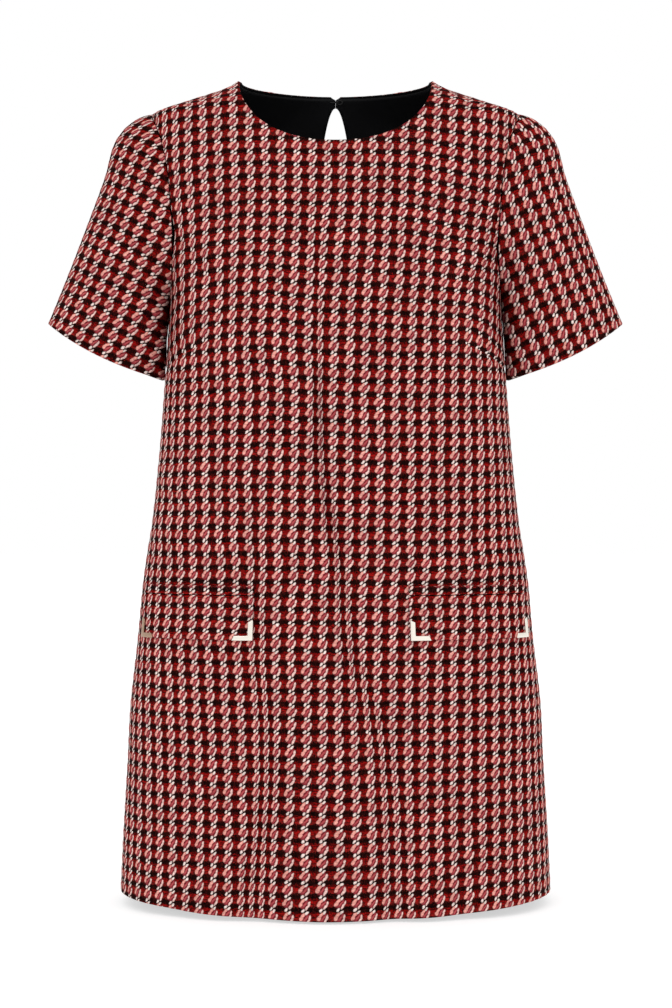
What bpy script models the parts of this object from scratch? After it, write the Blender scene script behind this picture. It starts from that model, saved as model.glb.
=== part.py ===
"""A short-sleeved, round-necked A-line shift dress, filled out as if worn.

Metres, +Z up, the front faces -Y and the wearer's left is +X. The origin is the middle of the neck,
level with the two points where the shoulder seams meet the neckline. Every cloth piece is an open
sheet on one body form, given its thickness by Solidify.
"""

import math
from collections import namedtuple

import bmesh
import bpy
import numpy as np
from mathutils import Vector

# Sizes of the dress.
CLOTH = 0.002
LINING = 0.001
LINING_GAP = 0.0011
GAP = 0.0003
SEAM_HALF_GAP = 0.00035
HEM_Z = -0.8405
HEM_RISE = 0.008
NECK_HALF = 0.098
NECK_Z = 0.0
SHOULDER_HOLLOW = 1.35
NECK_DROP_FRONT = 0.0745
NECK_DROP_BACK = 0.006
NECK_ROUND = 2.25
TIP_X = 0.187
TIP_Z = -0.0345
UNDERARM_Z = -0.225
ARMHOLE_FRONT = 0.050
ARMHOLE_BACK = 0.046
ARMHOLE_ROUND = 2.2
SHOULDER_EASE = 0.004
FRONT_ROUND = 2.35
BACK_ROUND = 2.2

# Mesh counts.
FRONT_COLUMNS = 28
BACK_COLUMNS = 22
SKIRT_ROWS = 19
YOKE_ROWS = 11
SLEEVE_SIDES = 2 * YOKE_ROWS
NECK_COLUMN = 0.40
SEAM_STRIP = 0.012
LINING_REACH = 0.75
LINING_ROW = 4
LINING_TOP = 0.85

# The body form: level sections from the hem up to the neck.
Section = namedtuple("Section", "z half_width front_depth back_depth")
BODY = (
    Section(-0.8410, 0.2206, 0.127, 0.117),
    Section(-0.7600, 0.2168, 0.124, 0.114),
    Section(-0.6980, 0.2130, 0.122, 0.111),
    Section(-0.6360, 0.2098, 0.120, 0.108),
    Section(-0.5750, 0.2028, 0.118, 0.105),
    Section(-0.5130, 0.1970, 0.115, 0.103),
    Section(-0.4510, 0.1876, 0.112, 0.101),
    Section(-0.3890, 0.1810, 0.111, 0.100),
    Section(-0.3270, 0.1761, 0.112, 0.101),
    Section(-0.2700, 0.1722, 0.113, 0.103),
    Section(-0.2250, 0.1697, 0.112, 0.104),
    Section(-0.1800, 0.1732, 0.108, 0.102),
    Section(-0.1300, 0.1820, 0.101, 0.097),
    Section(-0.0800, 0.1880, 0.090, 0.086),
    Section(-0.0330, 0.1900, 0.077, 0.070),
    Section(0.0100, 0.1900, 0.060, 0.052),
)

# Folds: a soft trough (or ridge, where the depth is negative) that runs down a panel. Its middle line
# goes through the across values at heights z1, z2 and z3, and it fades out over the fade length.
Fold = namedtuple("Fold", "panel z1 across1 z2 across2 z3 across3 width depth fade")
FOLDS = (
    Fold("front", -0.30, -0.017, -0.49, 0.001, -0.84, 0.062, 0.015, 0.0085, 0.10),
    Fold("front", -0.45, -0.092, -0.61, -0.073, -0.84, -0.082, 0.018, 0.0050, 0.09),
    Fold("front", -0.52, -0.150, -0.68, -0.156, -0.84, -0.163, 0.020, 0.0040, 0.12),
    Fold("front", -0.50, 0.126, -0.66, 0.122, -0.84, 0.128, 0.020, 0.0045, 0.10),
    Fold("front", -0.58, -0.020, -0.70, -0.014, -0.84, -0.010, 0.030, -0.0060, 0.14),
    Fold("back", -0.42, 0.050, -0.62, 0.062, -0.84, 0.078, 0.022, 0.0065, 0.12),
    Fold("back", -0.46, -0.070, -0.66, -0.082, -0.84, -0.098, 0.020, 0.0055, 0.12),
    Fold("back", -0.60, -0.012, -0.72, -0.010, -0.84, -0.008, 0.028, -0.0050, 0.12),
)

# Sleeve: rings from just off the armhole to the cuff, each from its top edge to its underarm edge.
CUFF_DROP_FRONT = 0.0075
CUFF_DROP_BACK = 0.0045
Ring = namedtuple("Ring", "top_x top_z under_x under_z half_depth")
SLEEVE = (
    Ring(0.2000, -0.0375, 0.1706, -0.2340, 0.0510),
    Ring(0.2125, -0.0455, 0.1714, -0.2410, 0.0520),
    Ring(0.2240, -0.0590, 0.1722, -0.2490, 0.0525),
    Ring(0.2370, -0.1000, 0.1736, -0.2640, 0.0525),
    Ring(0.2555, -0.1500, 0.1752, -0.2800, 0.0505),
    Ring(0.2776, -0.2070, 0.1768, -0.2950, 0.0465),
    Ring(0.2955, -0.2505, 0.1786, -0.3080, 0.0420),
)

# Mock pockets: a welt strip with a flap below it, placed by distance along the cloth from the middle.
FLAP_TOP_Z = -0.5245
FLAP_DROP = 0.044
WELT_HEIGHT = 0.009
FLAP_CLOTH = 0.0025
FLAP_GAP = 0.0005
WELT_CLOTH = 0.0030
FLAP_ROW = 9
Pocket = namedtuple("Pocket", "name side inner_along outer_along")
POCKETS = (Pocket("left", 1, 0.0755, 0.2095), Pocket("right", -1, 0.0805, 0.2095))

# Metal flap tips: an L of two mitred arms.
TIP_ARM = 0.020
TIP_WIDTH = 0.0047
TIP_METAL = 0.0014
TIP_GAP = 0.0005
TIP_SLANT = 0.0020

# Keyhole, measured down from the neck edge at centre back.
SLIT_HALF = 0.0010
SLIT_TOP_Z = -0.0105
KEYHOLE_TOP_Z = -0.015
KEYHOLE_HALF = 0.0170
KEYHOLE_SIDES = 0.064
KEYHOLE_BOTTOM = 0.026
KEYHOLE_STEPS = 8
CUTTER_NEAR_Y = 0.020
CUTTER_FAR_Y = 0.140
NOTCH_HALF = 0.0065
NOTCH_Z = -0.006

# Hook and eye.
WIRE = 0.0004
HOOK_Z = -0.0115
HOOK_CLEARANCE = 0.0023
HOOK_BEND = 0.0012
HOOK_START_X = -0.0055
HOOK_BEND_X = 0.0020
HOOK_END_X = -0.0010
EYE_X = 0.0045
EYE_HALF_WIDTH = 0.0027
EYE_HALF_HEIGHT = 0.0022

COLOURS = {
    "tweed": ((0.34, 0.045, 0.05), 0.92, 0.0),
    "lining": ((0.008, 0.008, 0.010), 0.55, 0.0),
    "tip_metal": ((0.80, 0.77, 0.68), 0.25, 1.0),
    "hook_metal": ((0.03, 0.028, 0.028), 0.4, 1.0),
}


def clear_scene():
    for obj in list(bpy.data.objects):
        bpy.data.objects.remove(obj, do_unlink=True)


def make_collection(name):
    collection = bpy.data.collections.new(name)
    bpy.context.scene.collection.children.link(collection)
    return collection


def make_material(name):
    colour, roughness, metallic = COLOURS[name]
    material = bpy.data.materials.new(name)
    material.use_nodes = True
    shader = material.node_tree.nodes["Principled BSDF"]
    shader.inputs["Base Color"].default_value = (*colour, 1.0)
    shader.inputs["Roughness"].default_value = roughness
    shader.inputs["Metallic"].default_value = metallic
    material.diffuse_color = (*colour, 1.0)
    return material


def through_points(at, keys, values):
    """A smooth curve through the keys, read at one or more places (rising keys, Hermite spans)."""
    keys = np.asarray(keys, float)
    values = np.asarray(values, float)
    slopes = np.gradient(values, keys)
    at = np.clip(np.asarray(at, float), keys[0], keys[-1])
    i = np.clip(np.searchsorted(keys, at, side="right") - 1, 0, len(keys) - 2)
    span = keys[i + 1] - keys[i]
    u = (at - keys[i]) / span
    start = (1 + 2 * u) * (1 - u) ** 2 * values[i] + u * (1 - u) ** 2 * span * slopes[i]
    end = u * u * (3 - 2 * u) * values[i + 1] + u * u * (u - 1) * span * slopes[i + 1]
    return start + end


def half_width(z):
    """Half width of the form at height z, with the sloping shoulder line rounded into it."""
    side = through_points(z, [s.z for s in BODY], [s.half_width for s in BODY])
    down = np.maximum((np.asarray(z) - NECK_Z) / (TIP_Z - NECK_Z), 0)
    shoulder = NECK_HALF + (TIP_X - NECK_HALF) * down**SHOULDER_HOLLOW
    lower = np.minimum(side, shoulder)
    near = np.clip(1 - np.abs(side - shoulder) / (4 * SHOULDER_EASE), 0, 1)
    return lower - SHOULDER_EASE * near * near


def depth(z, panel):
    depths = [s.front_depth if panel == "front" else s.back_depth for s in BODY]
    return through_points(z, [s.z for s in BODY], depths)


def roundness(panel):
    return FRONT_ROUND if panel == "front" else BACK_ROUND


def facing(panel):
    return -1.0 if panel == "front" else 1.0


def at_angle(s, z, panel):
    """Point of the form at s quarter turns from the middle of the panel, at height z."""
    power = 2 / roundness(panel)
    turn = np.asarray(s) * math.pi / 2
    x = half_width(z) * np.sign(turn) * np.abs(np.sin(turn)) ** power
    y = facing(panel) * depth(z, panel) * np.abs(np.cos(turn)) ** power
    return np.stack([x, y, np.broadcast_to(z, x.shape)], axis=-1)


def onto_form(points, panel):
    """Moves points level and straight out from the middle, onto the form."""
    power = roundness(panel)
    x, y, z = points[..., 0], points[..., 1], points[..., 2]
    reach = np.abs(x / half_width(z)) ** power + np.abs(y / depth(z, panel)) ** power
    reach = np.maximum(reach, 1e-9) ** (1 / power)
    return np.stack([x / reach, y / reach, z], axis=-1)


def outward(points, panel):
    """Level outward directions of the form at points on it."""
    power = roundness(panel)
    x, y, z = points[..., 0], points[..., 1], points[..., 2]
    wide, deep = half_width(z), depth(z, panel)
    normal_x = np.sign(x) * np.abs(x / wide) ** (power - 1) / wide
    normal_y = facing(panel) * np.abs(y / deep) ** (power - 1) / deep
    size = np.maximum(np.hypot(normal_x, normal_y), 1e-9)
    return np.stack([normal_x / size, normal_y / size, np.zeros_like(x)], axis=-1)


def fold_depth(x, z, panel):
    """How far the folds pull the cloth in at (x, z)."""
    total = np.zeros_like(x)
    for fold in FOLDS:
        if fold.panel != panel:
            continue
        line = through_points(-z, (-fold.z1, -fold.z2, -fold.z3), (fold.across1, fold.across2, fold.across3))
        start = np.clip((fold.z1 + fold.fade / 2 - z) / fold.fade, 0, 1)
        strength = start * start * (3 - 2 * start)
        total += fold.depth * strength * np.exp(-(((x - line) / fold.width) ** 2))
    return total


def with_folds(points, panel, lift=0.0):
    """Points of the form pulled in by the folds, then moved out by lift."""
    inward = fold_depth(points[..., 0], points[..., 2], panel)
    return points + outward(points, panel) * (lift - inward)[..., None]


def neck_edge(part, panel):
    """Neckline of a panel: part runs from -1 at one shoulder seam to 1 at the other."""
    drop = NECK_DROP_FRONT if panel == "front" else NECK_DROP_BACK
    turn = part * math.pi / 2
    power = 2 / NECK_ROUND
    x = NECK_HALF * np.sign(turn) * np.abs(np.sin(turn)) ** power
    z = NECK_Z - drop * np.abs(np.cos(turn)) ** power
    form = roundness(panel)
    across = np.minimum(np.abs(x) / half_width(z), 1)
    y = facing(panel) * depth(z, panel) * (1 - across**form) ** (1 / form)
    return np.stack([x, y, z], axis=-1)


def column_turns(panel):
    """Places of a panel's columns across its half turn, with a narrow strip at each side seam."""
    inside = 1 - SEAM_STRIP
    columns = FRONT_COLUMNS if panel == "front" else BACK_COLUMNS
    return np.concatenate([[-1], np.linspace(-inside, inside, columns - 1), [1]])


def neck_column(panel):
    """The column that runs up to the corner between the neckline and the shoulder seam."""
    columns = column_turns(panel)
    return columns[np.argmin(np.abs(columns - NECK_COLUMN))]


def top_edge(t, panel):
    """Top of a panel: neckline in the middle, a shoulder seam on each side. t runs from -1 to 1."""
    corner = neck_column(panel)
    out = np.clip((np.abs(t) - corner) / (1 - corner), 0, 1)
    z = NECK_Z + (TIP_Z - NECK_Z) * out
    seam = np.stack([np.sign(t) * half_width(z), facing(panel) * np.full_like(z, SEAM_HALF_GAP), z], axis=-1)
    neck = neck_edge(np.clip(t / corner, -1, 1), panel)
    return np.where((np.abs(t) < corner - 1e-9)[..., None], neck, seam)


def armhole(v, side, panel):
    """Armhole edge of a panel, from the underarm at v = 0 to the shoulder tip at v = 1."""
    middle = (TIP_Z + UNDERARM_Z) / 2
    reach = (TIP_Z - UNDERARM_Z) / 2
    turn = math.pi * np.asarray(v, float)
    z = middle - reach * np.cos(turn)
    in_depth = ARMHOLE_FRONT if panel == "front" else ARMHOLE_BACK
    y = np.maximum(in_depth * np.abs(np.sin(turn)) ** (2 / ARMHOLE_ROUND), SEAM_HALF_GAP)
    power = roundness(panel)
    x = half_width(z) * (1 - (y / depth(z, panel)) ** power) ** (1 / power)
    return np.stack([side * x, facing(panel) * y, z], axis=-1)


def yoke(t, v, panel):
    """The panel above the underarm line, blended between its four edges and laid on the form."""
    t, v = np.broadcast_arrays(t, v)
    low = at_angle(t, np.full_like(t, UNDERARM_Z), panel)
    high = top_edge(t, panel)
    left, right = armhole(v, -1, panel), armhole(v, 1, panel)
    across = ((t + 1) / 2)[..., None]
    up = v[..., None]
    sides = (1 - across) * left + across * right
    low_corners = (1 - across) * armhole(0, -1, panel) + across * armhole(0, 1, panel)
    high_corners = (1 - across) * armhole(1, -1, panel) + across * armhole(1, 1, panel)
    blend = (1 - up) * low + up * high + sides - (1 - up) * low_corners - up * high_corners
    return keep_seam(onto_form(blend, panel), panel)


def keep_seam(points, panel):
    """Keeps a panel on its own side of the side and shoulder seams."""
    kept = points.copy()
    kept[..., 1] = facing(panel) * np.maximum(facing(panel) * points[..., 1], SEAM_HALF_GAP)
    return kept


def hem_height(x):
    """The hem hangs a little lower at the middle than at the side seams."""
    return HEM_Z + HEM_RISE * (x / BODY[0].half_width) ** 2


def skirt_height(k):
    return HEM_Z + (UNDERARM_Z - HEM_Z) * k / SKIRT_ROWS


def panel_points(panel):
    """Rows of points over a whole panel, from the hem to the neck and shoulders."""
    t = column_turns(panel)
    rows = []
    for k in range(SKIRT_ROWS):
        row = at_angle(t, np.full_like(t, skirt_height(k)), panel)
        if k == 0:
            row[:, 2] = hem_height(row[:, 0])
        rows.append(keep_seam(row, panel))
    for v in np.linspace(0, 1, YOKE_ROWS + 1):
        rows.append(yoke(t, np.full_like(t, v), panel))
    return with_folds(np.array(rows), panel)


def sheet_mesh(name, rows, closed=False):
    """An open grid of faces through rows of points, facing away from the middle of the dress."""
    count_down, count_across = rows.shape[:2]
    mesh_builder = bmesh.new()
    grid = [[mesh_builder.verts.new(point) for point in row] for row in rows]
    last = count_across if closed else count_across - 1
    for i in range(count_down - 1):
        for j in range(last):
            k = (j + 1) % count_across
            mesh_builder.faces.new((grid[i][j], grid[i][k], grid[i + 1][k], grid[i + 1][j]))
    mesh = bpy.data.meshes.new(name)
    mesh_builder.to_mesh(mesh)
    mesh_builder.free()
    return mesh


def place(mesh, name, collection, material):
    obj = bpy.data.objects.new(name, mesh)
    collection.objects.link(obj)
    obj.data.materials.append(material)
    obj.data.shade_smooth()
    return obj


def thicken(obj, thickness, offset=-1.0):
    """Gives a sheet its cloth thickness, inwards for offset -1 and outwards for offset 1."""
    wall = obj.modifiers.new("cloth", "SOLIDIFY")
    wall.thickness = thickness
    wall.offset = offset
    wall.use_rim = True


def cut_with(obj, cutter):
    cut = obj.modifiers.new("keyhole", "BOOLEAN")
    cut.operation = "DIFFERENCE"
    cut.solver = "EXACT"
    cut.object = cutter


def keyhole_outline():
    """Half widths of the keyhole by height: a notch at the neck edge, a slit, then a drop shape."""
    above = (NOTCH_HALF + CLOTH, NOTCH_Z + 3 * CLOTH)
    edge = [above, (NOTCH_HALF, NOTCH_Z), (SLIT_HALF, SLIT_TOP_Z), (SLIT_HALF, KEYHOLE_TOP_Z)]
    spread = KEYHOLE_HALF - SLIT_HALF
    for k in range(1, KEYHOLE_STEPS + 1):
        part = k / KEYHOLE_STEPS
        edge.append((SLIT_HALF + spread * part, KEYHOLE_TOP_Z - KEYHOLE_SIDES * part**2))
    for k in range(1, KEYHOLE_STEPS):
        turn = math.pi / 2 * k / (KEYHOLE_STEPS - 1)
        low = KEYHOLE_TOP_Z - KEYHOLE_SIDES - KEYHOLE_BOTTOM * math.sin(turn)
        edge.append((KEYHOLE_HALF * math.cos(turn), low))
    return edge


def keyhole_cutter(collection):
    edge = keyhole_outline()
    bottom = (0.0, edge[-1][1])
    outline = [*edge[:-1], bottom, *[(-x, z) for x, z in reversed(edge[:-1])]]
    builder = bmesh.new()
    face = builder.faces.new([builder.verts.new((x, CUTTER_NEAR_Y, z)) for x, z in outline])
    grown = bmesh.ops.extrude_face_region(builder, geom=[face])
    moved = [item for item in grown["geom"] if isinstance(item, bmesh.types.BMVert)]
    bmesh.ops.translate(builder, verts=moved, vec=Vector((0, CUTTER_FAR_Y - CUTTER_NEAR_Y, 0)))
    bmesh.ops.recalc_face_normals(builder, faces=builder.faces)
    mesh = bpy.data.meshes.new("keyhole_cutter")
    builder.to_mesh(mesh)
    builder.free()
    cutter = bpy.data.objects.new("keyhole_cutter", mesh)
    collection.objects.link(cutter)
    cutter.hide_render = True
    cutter.display_type = "WIRE"
    return cutter


def make_panel(panel, collection, material):
    # Rows run upwards, so the back's columns are turned round to face outwards.
    rows = panel_points(panel)
    if panel == "back":
        rows = rows[:, ::-1]
    obj = place(sheet_mesh(panel, rows), panel, collection, material)
    thicken(obj, CLOTH)
    return obj


def make_neck_lining(collection, material, cutter):
    """Upper back lining, on the back panel's own columns and rows, just inside it."""
    columns = column_turns("back")
    columns = columns[np.abs(columns) < LINING_REACH]
    heights = np.arange(LINING_ROW, YOKE_ROWS + 1) / YOKE_ROWS
    points = np.array([yoke(columns, np.full_like(columns, v), "back") for v in heights])
    points[-1] = points[-2] + (points[-1] - points[-2]) * LINING_TOP
    inwards = np.cross(np.gradient(points, axis=1), np.gradient(points, axis=0))
    inwards /= np.linalg.norm(inwards, axis=-1, keepdims=True)
    points += inwards * (CLOTH + LINING_GAP)
    obj = place(sheet_mesh("neck_lining", points[:, ::-1]), "neck_lining", collection, material)
    thicken(obj, LINING)
    cut_with(obj, cutter)
    return obj


def sleeve_points(side):
    """Rings of the sleeve, from the armhole seam to the cuff, on one side of the body."""
    turns = np.linspace(0, 2 * math.pi, SLEEVE_SIDES, endpoint=False)
    front = np.sin(turns) >= 0
    v = np.where(front, 1 - turns / math.pi, turns / math.pi - 1)
    seam = np.where(front[:, None], armhole(v, 1, "front"), armhole(v, 1, "back"))
    seam[np.isclose(np.sin(turns), 0), 1] = 0.0
    seam[:, 0] += GAP
    rings = [seam]
    for k, ring in enumerate(SLEEVE):
        top, under = np.array((ring.top_x, 0, ring.top_z)), np.array((ring.under_x, 0, ring.under_z))
        circle = (top + under) / 2 + np.cos(turns)[:, None] * (top - under) / 2
        circle[:, 1] = -ring.half_depth * np.sin(turns)
        # The cuff hangs a little lower in front and behind than at its two ends.
        drop = np.where(front, CUFF_DROP_FRONT, CUFF_DROP_BACK) * np.sin(turns) ** 2
        down = np.array((top[2] - under[2], 0, under[0] - top[0])) / np.linalg.norm(top - under)
        circle += down * (drop * (k / (len(SLEEVE) - 1)) ** 2)[:, None]
        rings.append(circle)
    rings = np.array(rings)
    rings[..., 0] *= side
    return rings if side > 0 else rings[:, ::-1]


def make_sleeve(name, side, collection, material):
    obj = place(sheet_mesh(name, sleeve_points(side), closed=True), name, collection, material)
    thicken(obj, CLOTH)
    return obj


def turn_along(along, z, side):
    """Quarter turns from the front's middle to a distance along its cloth, at height z."""
    s = np.linspace(0, 1, 400)
    curve = with_folds(at_angle(side * s, np.full_like(s, z), "front"), "front")
    lengths = np.concatenate([[0], np.cumsum(np.linalg.norm(np.diff(curve, axis=0), axis=1))])
    return side * np.interp(along, lengths, s)


def on_front(turns, z, lift):
    """Points on the front panel's own flat facets, moved out by lift."""
    columns = column_turns("front")
    i = np.clip(np.searchsorted(columns, turns, side="right") - 1, 0, len(columns) - 2)
    k = np.clip(((z - HEM_Z) / (UNDERARM_Z - HEM_Z) * SKIRT_ROWS).astype(int), 0, SKIRT_ROWS - 1)
    low, high = skirt_height(k), skirt_height(k + 1)
    across = ((turns - columns[i]) / (columns[i + 1] - columns[i]))[:, None]
    up = ((z - low) / (high - low))[:, None]
    corner = [
        with_folds(at_angle(columns[i + right], row_z, "front"), "front")
        for row_z in (low, high)
        for right in (0, 1)
    ]
    flat = (1 - up) * ((1 - across) * corner[0] + across * corner[1])
    flat += up * ((1 - across) * corner[2] + across * corner[3])
    return flat + outward(onto_form(flat, "front"), "front") * lift


def strip_rows(pocket, heights, lift):
    """Rows of a welt or a flap: a point on each column of the front that it covers, and at both ends."""
    ends = sorted(turn_along(a, FLAP_TOP_Z, pocket.side) for a in (pocket.inner_along, pocket.outer_along))
    columns = column_turns("front")
    turns = np.concatenate([[ends[0]], columns[(columns > ends[0]) & (columns < ends[1])], [ends[1]]])
    return np.array([on_front(turns, np.full_like(turns, z), lift) for z in heights])


def make_pocket(pocket, collection, materials):
    """A mock pocket: welt strip above, flap below, and a metal tip on each lower corner."""
    flap_heights = (FLAP_TOP_Z - FLAP_DROP, skirt_height(FLAP_ROW), FLAP_TOP_Z)
    welt_heights = (FLAP_TOP_Z + GAP, FLAP_TOP_Z + GAP + WELT_HEIGHT)
    for kind, heights, cloth in (("flap", flap_heights, FLAP_CLOTH), ("welt", welt_heights, WELT_CLOTH)):
        name = f"pocket_{kind}_{pocket.name}"
        mesh = sheet_mesh(name, strip_rows(pocket, heights, FLAP_GAP))
        thicken(place(mesh, name, collection, materials["tweed"]), cloth, 1.0)
    for end, along, inwards in (("inner", pocket.inner_along, 1), ("outer", pocket.outer_along, -1)):
        make_tip(f"flap_tip_{end}_{pocket.name}", pocket.side, along, inwards, collection, materials)


def make_tip(name, side, along, inwards, collection, materials):
    """An L of metal laid on a lower corner of a flap, its two arms slanted at their ends."""
    low = FLAP_TOP_Z - FLAP_DROP
    lift = FLAP_GAP + FLAP_CLOTH + TIP_GAP
    # Corner, then across and up in steps, as (distance along the flap, height above its lower edge).
    outer_side = [(TIP_ARM * k / 3, 0.0) for k in (3, 2, 1, 0)] + [(0.0, TIP_ARM * k / 3) for k in (1, 2, 3)]
    inner_side = [
        (TIP_ARM - TIP_SLANT, TIP_WIDTH),
        (TIP_ARM * 2 / 3, TIP_WIDTH),
        (TIP_ARM / 3 + TIP_WIDTH / 2, TIP_WIDTH),
        (TIP_WIDTH, TIP_WIDTH),
        (TIP_WIDTH, TIP_ARM / 3 + TIP_WIDTH / 2),
        (TIP_WIDTH, TIP_ARM * 2 / 3),
        (TIP_WIDTH, TIP_ARM - TIP_SLANT),
    ]
    rows = []
    for edge in (outer_side, inner_side):
        turns = np.array([turn_along(along + inwards * across, FLAP_TOP_Z, side) for across, up in edge])
        rows.append(on_front(turns, np.array([low + up for across, up in edge]), lift))
    rows = np.array(rows)
    if side * inwards > 0:
        rows = rows[:, ::-1]
    obj = place(sheet_mesh(name, rows), name, collection, materials["tip_metal"])
    thicken(obj, TIP_METAL, 1.0)
    return obj


def wire(name, points, closed, collection, material):
    """Bent wire of a hook or an eye."""
    curve = bpy.data.curves.new(name, "CURVE")
    curve.dimensions = "3D"
    curve.bevel_depth = WIRE
    curve.bevel_resolution = 1
    curve.use_fill_caps = True
    spline = curve.splines.new("POLY")
    spline.points.add(len(points) - 1)
    for target, point in zip(spline.points, points):
        target.co = (*point, 1.0)
    spline.use_cyclic_u = closed
    obj = bpy.data.objects.new(name, curve)
    collection.objects.link(obj)
    curve.materials.append(material)
    return obj


def make_hook_and_eye(collection, material):
    """The hook lies across the slit just inside the lining, bent round one side of the eye."""
    inside = float(depth(HOOK_Z, "back")) - CLOTH - LINING_GAP - LINING
    far = inside - HOOK_CLEARANCE
    middle = far - HOOK_BEND
    bend = [
        (HOOK_BEND_X + HOOK_BEND * math.cos(a), middle + HOOK_BEND * math.sin(a), HOOK_Z)
        for a in np.linspace(math.pi / 2, -math.pi / 2, 7)
    ]
    hook = [(HOOK_START_X, far, HOOK_Z), *bend, (HOOK_END_X, middle - HOOK_BEND, HOOK_Z)]
    wire("neck_hook", hook, False, collection, material)
    loop = [
        (EYE_X + EYE_HALF_WIDTH * math.cos(a), middle, HOOK_Z + EYE_HALF_HEIGHT * math.sin(a))
        for a in np.linspace(0, 2 * math.pi, 14, endpoint=False)
    ]
    wire("neck_eye", loop, True, collection, material)


def main():
    clear_scene()
    parts = make_collection("shift_dress")
    cutters = make_collection("cutters")
    materials = {name: make_material(name) for name in COLOURS}
    cutter = keyhole_cutter(cutters)

    make_panel("front", parts, materials["tweed"])
    back = make_panel("back", parts, materials["tweed"])
    cut_with(back, cutter)
    make_neck_lining(parts, materials["lining"], cutter)
    make_sleeve("sleeve_left", 1, parts, materials["tweed"])
    make_sleeve("sleeve_right", -1, parts, materials["tweed"])
    for pocket in POCKETS:
        make_pocket(pocket, parts, materials)
    make_hook_and_eye(parts, materials["hook_metal"])


main()
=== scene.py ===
import math
from collections import namedtuple

import bmesh
import bpy
import numpy as np
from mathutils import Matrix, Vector


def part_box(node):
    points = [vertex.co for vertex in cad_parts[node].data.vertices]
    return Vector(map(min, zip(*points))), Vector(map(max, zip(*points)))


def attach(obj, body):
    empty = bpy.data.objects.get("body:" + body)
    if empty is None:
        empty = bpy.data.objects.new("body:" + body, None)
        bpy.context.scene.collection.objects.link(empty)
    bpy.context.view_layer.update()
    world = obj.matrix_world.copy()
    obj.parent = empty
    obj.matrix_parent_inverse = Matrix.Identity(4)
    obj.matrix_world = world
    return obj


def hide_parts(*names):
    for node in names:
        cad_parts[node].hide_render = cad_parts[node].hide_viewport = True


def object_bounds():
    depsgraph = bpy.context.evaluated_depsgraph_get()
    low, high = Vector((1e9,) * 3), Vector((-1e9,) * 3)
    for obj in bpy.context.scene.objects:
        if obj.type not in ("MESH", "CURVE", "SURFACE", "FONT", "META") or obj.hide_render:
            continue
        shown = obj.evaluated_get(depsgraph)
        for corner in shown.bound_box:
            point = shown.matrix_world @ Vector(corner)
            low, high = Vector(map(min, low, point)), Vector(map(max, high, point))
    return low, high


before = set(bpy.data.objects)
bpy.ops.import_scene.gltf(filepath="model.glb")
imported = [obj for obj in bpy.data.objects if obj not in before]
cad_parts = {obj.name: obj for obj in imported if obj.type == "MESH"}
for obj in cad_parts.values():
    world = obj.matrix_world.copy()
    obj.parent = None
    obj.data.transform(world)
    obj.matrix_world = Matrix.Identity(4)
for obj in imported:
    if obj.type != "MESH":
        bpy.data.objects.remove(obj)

cad_low, cad_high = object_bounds()

# ----------------------------------------
# Front panel
# One piece of chunky wool-blend tweed from neck to hem, with a bust dart from each side seam. It is cut
# on the straight grain, so the light columns of yarn hang parallel to the centre front.
CLOTH = 0.002
HEM_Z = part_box("front")[0][2] + 0.0001
NECK_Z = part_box("front")[1][2]
HEM_RISE = 0.011
NECK_HALF = 0.098
SHOULDER_HOLLOW = 1.35
SHOULDER_EASE = 0.004
NECK_DROP = {"front": 0.0745, "back": 0.0045}
NECK_ROUND = 2.25
TIP_X = 0.187
TIP_Z = -0.0345
UNDERARM_Z = -0.225
ARMHOLE_DEPTH = {"front": 0.050, "back": 0.046}
ARMHOLE_ROUND = 2.2
ARMHOLE_REACH = 3
FACING = {"front": -1.0, "back": 1.0}
ROUND = {"front": 2.35, "back": 2.2}
NECK_LESS_ROUND = {"front": 0.0, "back": 0.6}
NECK_EASE = 0.035
SEAM_HALF_GAP = 0.00012
NECK_COLUMN = 0.40
FIRST_ROW = 0.0324

Section = namedtuple("Section", "z half_width front back")
BODY = (
    Section(-0.8410, 0.2206, 0.127, 0.117),
    Section(-0.7600, 0.2168, 0.124, 0.114),
    Section(-0.6980, 0.2130, 0.122, 0.111),
    Section(-0.6360, 0.2098, 0.120, 0.108),
    Section(-0.5750, 0.2028, 0.118, 0.105),
    Section(-0.5130, 0.1970, 0.115, 0.103),
    Section(-0.4510, 0.1876, 0.112, 0.101),
    Section(-0.3890, 0.1810, 0.111, 0.100),
    Section(-0.3270, 0.1761, 0.112, 0.101),
    Section(-0.2700, 0.1722, 0.113, 0.103),
    Section(-0.2250, 0.1697, 0.112, 0.104),
    Section(-0.1800, 0.1732, 0.108, 0.102),
    Section(-0.1300, 0.1820, 0.101, 0.097),
    Section(-0.0800, 0.1880, 0.090, 0.086),
    Section(-0.0330, 0.1900, 0.077, 0.070),
    Section(0.0100, 0.1900, 0.060, 0.052),
)

# A fold runs down a panel along a line of (height, place), as a soft trough, or a ridge where its depths
# are negative. Its width and depth go from the top to the hem. The cloth taken up in it, in millimetres
# by height, is missing from the weave on its right, or on its left where that is negative.
Fold = namedtuple("Fold", "panel line top_width low_width top_depth low_depth fade taken")
CENTRE_LINE = (
    (-0.300, -0.017), (-0.392, -0.0152), (-0.451, -0.0054), (-0.490, 0.0010), (-0.588, 0.0191),
    (-0.685, 0.0470), (-0.744, 0.0550), (-0.840, 0.0580),
)
CENTRE_TAKEN = (
    (-0.12, 0.0), (-0.186, 2.9), (-0.245, 4.6), (-0.285, 4.6), (-0.335, 1.5), (-0.460, 1.5), (-0.520, 3.4),
    (-0.58, 4.0), (-0.72, 7.0),
)
LEFT_LINE = ((-0.585, -0.076), (-0.660, -0.068), (-0.840, -0.080))
LEFT_TAKEN = ((-0.41, 0.0), (-0.585, -7.5), (-0.76, -15.0))
HIP_LINES = (
    ((-0.52, -0.150), (-0.68, -0.156), (-0.84, -0.163)),
    ((-0.50, 0.126), (-0.66, 0.122), (-0.84, 0.128)),
)
FRONT_RIDGE = ((-0.58, -0.020), (-0.70, -0.014), (-0.84, -0.010))
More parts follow.
